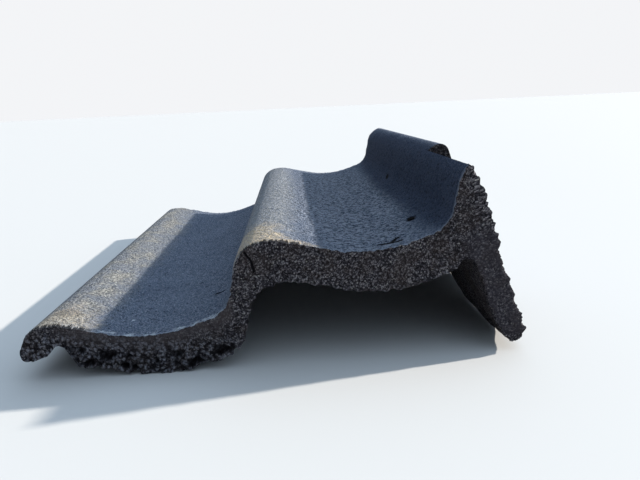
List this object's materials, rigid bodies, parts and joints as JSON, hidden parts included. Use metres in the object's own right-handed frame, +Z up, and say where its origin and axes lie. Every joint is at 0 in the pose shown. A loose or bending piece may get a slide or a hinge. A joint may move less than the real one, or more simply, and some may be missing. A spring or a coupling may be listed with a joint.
{
  "type": "concrete verge roof tile",
  "caption": "Double-wave interlocking concrete verge roof tile with a grooved cover fold on one edge and a deep stepped flap down the other.",
  "frame": {"origin": "bottom centre of the tile's bounding box, on the floor that it lies on", "axes": "+Y along the waves from the head end to the front end, +X across the tile from the cover fold to the flap, +Z up"},
  "size_m": [0.3408, 0.42, 0.1301],
  "materials": {
    "concrete": "dark anthracite coated top, raw sandy aggregate on the end faces, the flap and the underside"
  },
  "bodies": {
    "root": {"verge_tile": "concrete"}
  },
  "joints": []
}
